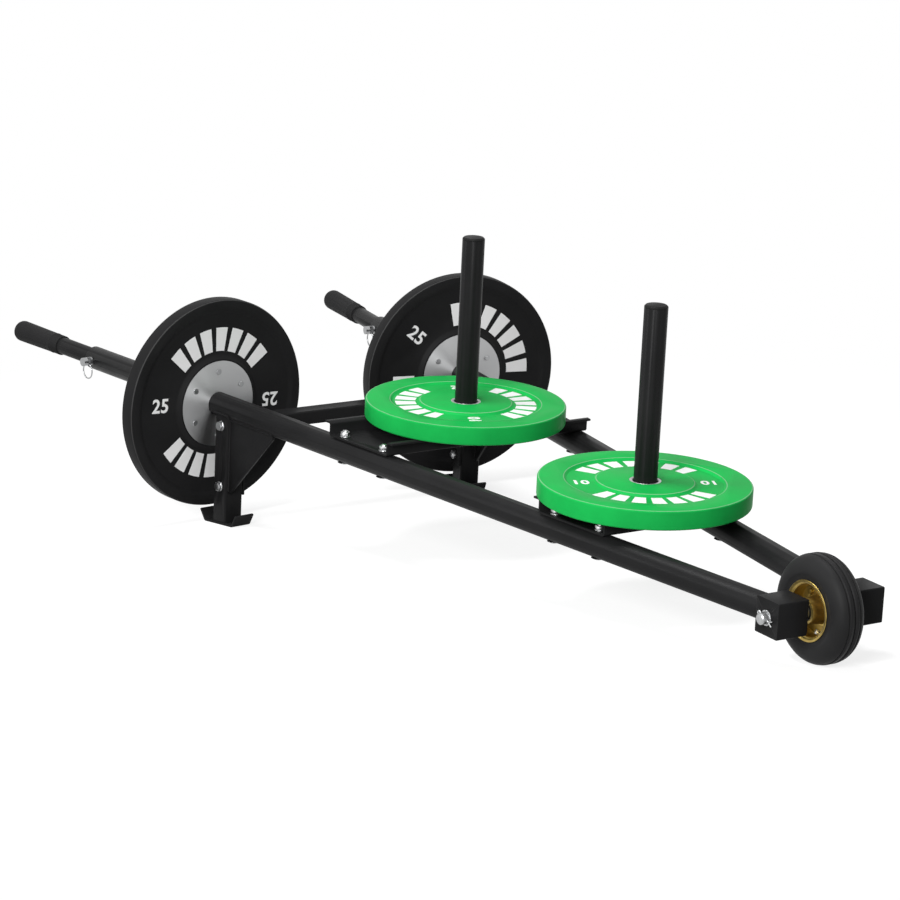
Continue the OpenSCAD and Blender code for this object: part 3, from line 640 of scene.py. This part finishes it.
class WheelbarrowSettings(bpy.types.PropertyGroup):
    """Colours and small sizes of the dressed wheelbarrow."""

    frame_colour: colour_property(
        "Frame", "Black powder coat of the frame", 0.0115, 0.0115, 0.0119)
    grip_colour: colour_property(
        "Grips", "Rubber of the handle grips", 0.018, 0.018, 0.0184)
    black_colour: colour_property(
        "Black plates", "Rubber of the black plates", 0.0125, 0.0125, 0.0129)
    green_colour: colour_property(
        "Green plates", "Rubber of the green plates", 0.011, 0.38, 0.07)
    mark_colour: colour_property(
        "Marks", "Paint of the marks on the plates", 0.8, 0.8, 0.8)
    rim_colour: colour_property(
        "Rim", "Passivated steel of the wheel rim", 0.4, 0.29, 0.085)
    tyre_colour: colour_property(
        "Tyre", "Rubber of the tyre", 0.015, 0.015, 0.0154)
    edge_width: length_property(
        "Edge rounding", "Rounding of cut and folded edges", 0.0008)
    weld_pitch: length_property("Weld pitch", "Distance between weld ripples", 0.0021)
    weld_radius: length_property("Weld radius", "Half width of a weld bead", 0.0031)
    mark_height: length_property(
        "Mark height", "How far the painted marks stand out", 0.0004)
    bars_in_arc: bpy.props.IntProperty(name="Bars in an arc", default=7, min=2, max=12,
                                       description="Painted bars in each arc on a plate")


# ---------------------------------------------------------------- operators

class WHEELBARROW_OT_frame(bpy.types.Operator):
    """Dress the welded frame, its legs, channels and posts"""

    bl_idname = "wheelbarrow.dress_frame"
    bl_label = "Frame"

    def execute(self, context):
        look = settings()
        # The coat's edge value paints a highlight on its sharp edges
        coat = grained_finish("matte_powder_coat", look.frame_colour, 0.42, spread=0.14,
                              grain=1500.0, strength=0.3, specular=0.04, edge=0.3)
        FINISHES["coat"] = coat
        smooth_coat = grained_finish("matte_tube_coat", look.frame_colour, 0.38,
                                     spread=0.14, grain=1500.0, strength=0.3,
                                     specular=0.07)
        for name in ("frame_tube_right", "frame_tube_left", "rear_post", "front_post",
                     "handle_tube_right", "handle_tube_left"):
            finished_copy(name, smooth_coat, 0.0006)
        for name in ("axle_box_right", "axle_box_left", "leg_right", "leg_left",
                     "leg_gusset_right", "leg_gusset_left", "foot_right", "foot_left",
                     "rear_crossmember", "crossmember_end_plates",
                     "rear_channel", "front_channel"):
            finished_copy(name, coat, look.edge_width)
        cap = grained_finish("moulded_cap", (0.013, 0.013, 0.013), 0.45, grain=700.0,
                             specular=0.04)
        finished_copy("post_caps", cap, 0.0004)
        return {"FINISHED"}


# Weld beads, in mm: how far the middle of each bead stands off the corner that it
# fills, and where the gusset's beads start and how long they are
POST_BEAD_UP = 4.6
POST_BEAD_OUT = 0.8
BOX_BEAD_BACK = 1.2
BOX_BEAD_OUT = 0.9
BOX_SLANT = 0.139
SADDLE_BEAD_DOWN = 0.6
SADDLE_BEAD_AHEAD = 0.8
SADDLE_BEAD_BEHIND = 0.1
LEG_BEAD_OUT = 0.5
GUSSET_BEAD_OUT = 0.4
GUSSET_BEAD_AHEAD = 0.6
GUSSET_BEAD_DOWN = 0.2
GUSSET_BEAD_START = 2.0
GUSSET_BEAD_HEIGHT = 154.0
GUSSET_BEAD_LENGTH = 140.0


def post_weld(u):
    """Ring round the foot of a post, on its channel."""
    return ring_points(Vector((u, 0, TUBE_R + POST_BEAD_UP)), Vector((1, 0, 0)),
                       Vector((0, 1, 0)), POST_R + POST_BEAD_OUT)


def box_weld():
    """Ring round a long tube, on the rear face of its axle box."""
    centre = Vector((BOX_REAR / math.cos(SPREAD) - BOX_BEAD_BACK, 0, 0))
    return ring_points(centre, Vector((BOX_SLANT, 1, 0)), Vector((0, 0, 1)),
                       TUBE_R + BOX_BEAD_OUT)


def under_tube(y):
    """Height of the tube's under side at a place across it."""
    return -math.sqrt(TUBE_R ** 2 - y ** 2)


def leg_welds():
    """Beads between a leg and its tube, and along a gusset's leg and tube edges."""
    half = LEG_SIZE / 2
    front, back = -LEG_AT + half, -LEG_AT - half
    runs = []
    across = [p.y for p in line_points(Vector((0, -half, 0)), Vector((0, half, 0)), 24)]
    for x in (front + SADDLE_BEAD_AHEAD, back + SADDLE_BEAD_BEHIND):
        runs.append([Vector((x, y, under_tube(y) - SADDLE_BEAD_DOWN)) for y in across])
    for y in (-half - LEG_BEAD_OUT, half + LEG_BEAD_OUT):
        z = under_tube(half)
        runs.append(line_points(Vector((back, y, z)), Vector((front, y, z)), 20))
    gusset_half = GUSSET_T / 2 + GUSSET_BEAD_OUT
    for y in (-GUSSET_OFF - gusset_half, -GUSSET_OFF + gusset_half):
        corner = Vector((front, y, under_tube(y)))
        top = corner + Vector((GUSSET_BEAD_AHEAD, 0, -GUSSET_BEAD_START))
        runs.append(line_points(top, top - Vector((0, 0, GUSSET_BEAD_HEIGHT)), 30))
        near = corner + Vector((GUSSET_BEAD_START, 0, -GUSSET_BEAD_DOWN))
        runs.append(line_points(near, near + Vector((GUSSET_BEAD_LENGTH, 0, 0)), 30))
    return runs


class WHEELBARROW_OT_welds(bpy.types.Operator):
    """Add the weld beads of the frame under its powder coat"""

    bl_idname = "wheelbarrow.add_welds"
    bl_label = "Weld beads"

    def execute(self, context):
        look = settings()
        posts = [(frame_matrix(), post_weld(u)) for u in POSTS.values()]
        sides = [side_matrix(left) for left in (False, True)]
        boxes = [(side, box_weld()) for side in sides]
        legs = [(side, run) for side in sides for run in leg_welds()]
        for name, runs in (("post_welds", posts), ("box_welds", boxes),
                           ("leg_welds", legs)):
            paths = [[place @ point for point in run] for place, run in runs]
            piece = link_piece(name, path_mesh(name, paths))
            grow(piece, tree_once("weld_ripples", weld_tree), {
                "Ripple pitch": look.weld_pitch, "Ripple radius": look.weld_radius,
                "Seed": 4, "Finish": FINISHES["coat"]})
            piece.data.shade_smooth()
            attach(piece, "frame")
        return {"FINISHED"}


class WHEELBARROW_OT_fasteners(bpy.types.Operator):
    """Dress the bolts, nuts, washers and the axle"""

    bl_idname = "wheelbarrow.dress_fasteners"
    bl_label = "Fasteners and axle"

    def execute(self, context):
        zinc = grained_finish("bright_zinc", (0.48, 0.485, 0.49), 0.3, metal=1.0,
                              patch=60.0, grain=1200.0, relief=0.00003, strength=0.3)
        FINISHES["zinc"] = zinc
        dull = grained_finish("dull_zinc", (0.36, 0.365, 0.37), 0.36, metal=1.0,
                              spread=0.15, patch=60.0, grain=1200.0, relief=0.00003,
                              strength=0.3)
        for name in ("leg_bolts", "leg_nuts", "leg_washers",
                     "channel_bolts", "channel_nuts", "channel_washers"):
            finished_copy(name, zinc, 0.0005)
        for name in ("axle", "axle_washers"):
            finished_copy(name, dull, 0.0005)
        paint("axle_cotter", zinc)
        bearing = grained_finish("ground_steel", (0.6, 0.6, 0.62), 0.22, metal=1.0,
                                 grain=2000.0)
        for name in ("bearing_inner_races", "bearing_outer_races", "bearing_balls"):
            paint(name, bearing)
        paint("axle_spacers", zinc)
        return {"FINISHED"}


class WHEELBARROW_OT_handles(bpy.types.Operator):
    """Dress the grips, locking pins and pull rings"""

    bl_idname = "wheelbarrow.dress_handles"
    bl_label = "Handles and pins"

    def execute(self, context):
        rubber = grained_finish("grip_rubber", settings().grip_colour, 0.62,
                                spread=0.2, grain=420.0, relief=0.00025, strength=0.5,
                                specular=0.05)
        for name in ("grip_right", "grip_left"):
            finished_copy(name, rubber, 0.0)
        turned = grained_finish("turned_zinc", (0.36, 0.365, 0.37), 0.3, metal=1.0,
                                spread=0.1, patch=80.0, grain=1500.0, relief=0.00002,
                                strength=0.3)
        for name in ("lock_pin_right", "lock_pin_left",
                     "pull_ring_right", "pull_ring_left"):
            paint(name, turned)
        return {"FINISHED"}


class WHEELBARROW_OT_wheel(bpy.types.Operator):
    """Dress the tyre, the rim and the valve"""

    bl_idname = "wheelbarrow.dress_wheel"
    bl_label = "Wheel"

    def execute(self, context):
        look = settings()
        tyre = grained_finish("tyre_rubber", look.tyre_colour, 0.5, spread=0.16,
                              patch=14.0, grain=600.0, relief=0.00012, strength=0.4,
                              specular=0.08)
        gold = grained_finish("gold_passivation", look.rim_colour, 0.36, metal=1.0,
                              spread=0.3, patch=45.0, strength=0.3)
        butyl = grained_finish("black_butyl", (0.012, 0.012, 0.012), 0.5, specular=0.1)
        finished_copy("tyre", tyre, 0.0, angle=28.0)
        for name in ("rim_right_half", "rim_left_half"):
            finished_copy(name, gold, 0.0004, angle=28.0)
        for name, metal in (("rim_bolts", gold), ("rim_nuts", gold),
                            ("valve_cap", FINISHES["zinc"])):
            finished_copy(name, metal, 0.0003)
        paint("inner_tube", butyl)
        finished_copy("valve_stem", butyl, 0.0)
        return {"FINISHED"}


def add_marks(name, body, faces, finish, floor, inner, outer, bar_angle, step,
              digits, digit_r, digit_size):
    """Arcs of plain bars and two plain numbers on both faces of a plate."""
    look = settings()
    top = floor + look.mark_height / MM
    bottom = floor - MARK_DEPTH
    bar = slab_mesh(name + "_bar", bar_outline(inner, outer, bar_angle / 2), top, bottom)
    piece = link_piece(name, bar)
    grow(piece, tree_once("marks_about_axis", ring_tree), {
        "Marks in each arc": look.bars_in_arc, "Step": step, "Arc turn": math.pi,
        "Arcs": 2, "Finish": finish})
    number = number_mesh(name + "_number", digits, digit_size, top, bottom)
    parts = []
    for matrix, turn in faces:
        spin = matrix @ Matrix.Rotation(turn, 4, "Z")
        parts.append((piece.data, spin))
        for turn_round in (0, math.pi):
            place = (spin @ Matrix.Rotation(turn_round, 4, "Z")
                     @ Matrix.Translation((-digit_r, 0, 0)))
            parts.append((number, place))
    whole = join_meshes(name, parts)
    piece.data = whole
    whole.materials.clear()
    whole.materials.append(finish)
    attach(piece, body)
    return piece


class WHEELBARROW_OT_black_plates(bpy.types.Operator):
    """Dress the black plates and paint their plain marks"""

    bl_idname = "wheelbarrow.dress_black_plates"
    bl_label = "Black plates"

    def execute(self, context):
        look = settings()
        marks = grained_finish("white_mark_paint", look.mark_colour, 0.5, spread=0.03,
                               grain=500.0)
        FINISHES["marks"] = marks
        satin = grained_finish("satin_rivet_steel", (0.32, 0.325, 0.33), 0.4, metal=1.0,
                               patch=80.0, grain=1200.0, relief=0.00003)
        for side, turn in BLACK_TURNS.items():
            left = side == "left"
            face = black_face_matrix(left, False)
            # Painted highlight line just inside the plate's rim
            rubber = grained_finish("black_plate_rubber_" + side, look.black_colour,
                                    0.48, spread=0.16, grain=380.0, relief=0.00012,
                                    specular=0.05, place=face, highlight_radii=BLACK_HIGHLIGHT_RADII,
                                    highlight_tone=0.035)
            finished_copy("black_plate_" + side, rubber, 0.0, angle=24.0)
            steel = turned_steel("turned_hub_steel_" + side, face,
                                 (0.5, 0.505, 0.51), 0.48)
            paint("plate_hub_" + side, steel)
            finished_copy("hub_rivets_" + side, satin, 0.0008)
            piece = add_marks("black_plate_marks_" + side, "black_plate_" + side,
                              [(face, turn), (black_face_matrix(left, True), -turn)],
                              marks, **BLACK_MARKS)
        return {"FINISHED"}


class WHEELBARROW_OT_green_plates(bpy.types.Operator):
    """Dress the green plates and paint their plain marks"""

    bl_idname = "wheelbarrow.dress_green_plates"
    bl_label = "Green plates"

    def execute(self, context):
        look = settings()
        for which, turn in GREEN_TURNS.items():
            face = green_face_matrix(which, False)
            # Painted highlight lines at the plate's steps and top edge
            rubber = grained_finish("green_plate_rubber_" + which, look.green_colour,
                                    0.34, spread=0.11, patch=11.0, grain=260.0,
                                    relief=0.0001, strength=0.3, specular=0.012,
                                    place=face, highlight_radii=GREEN_HIGHLIGHT_RADII, highlight_tone=0.16)
            finished_copy("green_plate_" + which, rubber, 0.0, angle=24.0)
            steel = turned_steel("turned_ring_steel_" + which, face,
                                 (0.5, 0.5, 0.51), 0.4)
            finished_copy("bore_ring_" + which, steel, 0.0008)
            piece = add_marks("green_plate_marks_" + which, "green_plate_" + which,
                              [(face, turn), (green_face_matrix(which, True), -turn)],
                              FINISHES["marks"], **GREEN_MARKS)
        return {"FINISHED"}


def seen_directly(tree):
    """1 where the camera sees the white studio, itself or in metal or glass."""
    paths = tree.nodes.new("ShaderNodeLightPath")
    seen = paths.outputs["Is Camera Ray"]
    for kind in ("Is Glossy Ray", "Is Transmission Ray"):
        either = tree.nodes.new("ShaderNodeMath")
        either.operation = "MAXIMUM"
        tree.links.new(seen, either.inputs[0])
        tree.links.new(paths.outputs[kind], either.inputs[1])
        seen = either.outputs[0]
    return seen


class WHEELBARROW_OT_stage(bpy.types.Operator):
    """Set up the pale floor, the soft lamps and the camera"""

    bl_idname = "wheelbarrow.set_stage"
    bl_label = "Studio"

    def execute(self, context):
        scene = context.scene
        scene.view_settings.view_transform = "Standard"
        mesh = bpy.data.meshes.new("studio_floor")
        mesh.from_pydata([(x * FLOOR_REACH, y * FLOOR_REACH, 0)
                          for x, y in ((-1, -1), (1, -1), (1, 1), (-1, 1))],
                         [], [(0, 1, 2, 3)])
        floor = link_piece("studio_floor", mesh)
        material, tree, shader = start_material("studio_floor_white")
        shader.inputs["Base Color"].default_value = (FLOOR_TONE,) * 3 + (1.0,)
        shader.inputs["Roughness"].default_value = 0.9
        shader.inputs["Specular IOR Level"].default_value = 0.0
        self.whiten_floor(tree, shader)
        mesh.materials.append(material)
        self.set_world(scene)
        self.set_lamps()
        self.set_camera(scene)
        return {"FINISHED"}

    def whiten_floor(self, tree, shader):
        """The floor keeps the object's shadow near it, and fades to plain white."""
        make, link = tree.nodes.new, tree.links.new
        seen = seen_directly(tree)
        lift = make("ShaderNodeMath")
        lift.operation = "MULTIPLY"
        lift.inputs[1].default_value = FLOOR_LIFT
        link(seen, lift.inputs[0])
        glow = make("ShaderNodeEmission")
        link(lift.outputs[0], glow.inputs["Strength"])
        near = make("ShaderNodeAddShader")
        link(shader.outputs[0], near.inputs[0])
        link(glow.outputs[0], near.inputs[1])
        white = make("ShaderNodeEmission")
        link(seen, white.inputs["Strength"])
        coordinate = make("ShaderNodeTexCoord")
        distance = make("ShaderNodeVectorMath")
        distance.operation = "LENGTH"
        link(coordinate.outputs["Object"], distance.inputs[0])
        fade = make("ShaderNodeMapRange")
        fade.interpolation_type = "SMOOTHSTEP"
        fade.inputs["From Min"].default_value = FADE_START
        fade.inputs["From Max"].default_value = FADE_END
        link(distance.outputs["Value"], fade.inputs["Value"])
        blend = make("ShaderNodeMixShader")
        link(fade.outputs[0], blend.inputs[0])
        link(near.outputs[0], blend.inputs[1])
        link(white.outputs[0], blend.inputs[2])
        link(blend.outputs[0], tree.nodes["Material Output"].inputs["Surface"])

    def set_world(self, scene):
        """Plain light all round, and white where the camera sees it."""
        world = bpy.data.worlds.new("studio_world")
        scene.world = world
        world.use_nodes = True
        tree = world.node_tree
        back = tree.nodes["Background"]
        strength = tree.nodes.new("ShaderNodeMapRange")
        strength.inputs["To Min"].default_value = WORLD_STRENGTH
        strength.inputs["To Max"].default_value = 1.0
        tree.links.new(seen_directly(tree), strength.inputs["Value"])
        tree.links.new(strength.outputs[0], back.inputs["Strength"])
        back.inputs["Color"].default_value = (1, 1, 1, 1)

    def set_lamps(self):
        """Round soft lamps, each turned towards the object."""
        for name, place, size, power in LAMPS:
            lamp = bpy.data.lights.new(name, "AREA")
            lamp.shape = "DISK"
            lamp.size = size
            lamp.energy = power
            item = bpy.data.objects.new(name, lamp)
            bpy.context.scene.collection.objects.link(item)
            item.location = place
            aim = Vector(LAMP_TARGET) - Vector(place)
            item.rotation_euler = aim.to_track_quat("-Z", "Y").to_euler()

    def set_camera(self, scene):
        """The photograph's view, whose angles are taken from the frame plane."""
        azimuth, elevation, roll = (
            math.radians(a) for a in (CAMERA_AZIMUTH, CAMERA_ELEVATION, CAMERA_ROLL))
        back = Vector((math.sin(azimuth) * math.cos(elevation),
                       -math.cos(azimuth) * math.cos(elevation), math.sin(elevation)))
        level = Vector((math.cos(azimuth), math.sin(azimuth), 0))
        rise = back.cross(level)
        right = math.cos(roll) * level + math.sin(roll) * rise
        up = -math.sin(roll) * level + math.cos(roll) * rise
        tilt = Matrix.Rotation(PITCH, 3, "Y")
        axes = Matrix((tilt @ right, tilt @ up, tilt @ back)).transposed().to_4x4()
        place = frame_matrix() @ Vector(CAMERA_AT)
        lens = bpy.data.cameras.new("studio_camera")
        lens.sensor_width = SENSOR_WIDTH
        lens.lens = FOCAL_LENGTH * SENSOR_WIDTH / PHOTO_WIDTH
        lens.clip_end = 200.0
        camera = bpy.data.objects.new("studio_camera", lens)
        scene.collection.objects.link(camera)
        camera.matrix_world = Matrix.Translation(place) @ axes
        scene.camera = camera


class WHEELBARROW_PT_panel(bpy.types.Panel):
    """Buttons and settings of the wheelbarrow"""

    bl_idname = "WHEELBARROW_PT_panel"
    bl_label = "Wheelbarrow"
    bl_space_type = "VIEW_3D"
    bl_region_type = "UI"
    bl_category = "Wheelbarrow"

    def draw(self, context):
        for name in WheelbarrowSettings.__annotations__:
            self.layout.prop(context.scene.wheelbarrow, name)
        for operator in STEPS:
            self.layout.operator(operator.bl_idname)


STEPS = (
    WHEELBARROW_OT_frame,
    WHEELBARROW_OT_welds,
    WHEELBARROW_OT_fasteners,
    WHEELBARROW_OT_handles,
    WHEELBARROW_OT_wheel,
    WHEELBARROW_OT_black_plates,
    WHEELBARROW_OT_green_plates,
    WHEELBARROW_OT_stage,
)
CLASSES = (WheelbarrowSettings, *STEPS, WHEELBARROW_PT_panel)


def register():
    for item in CLASSES:
        bpy.utils.register_class(item)
    bpy.types.Scene.wheelbarrow = bpy.props.PointerProperty(type=WheelbarrowSettings)


def unregister():
    del bpy.types.Scene.wheelbarrow
    for item in reversed(CLASSES):
        bpy.utils.unregister_class(item)


def main():
    register()
    for step in STEPS:
        group, action = step.bl_idname.split(".")
        getattr(getattr(bpy.ops, group), action)()


if __name__ == "__main__":
    main()
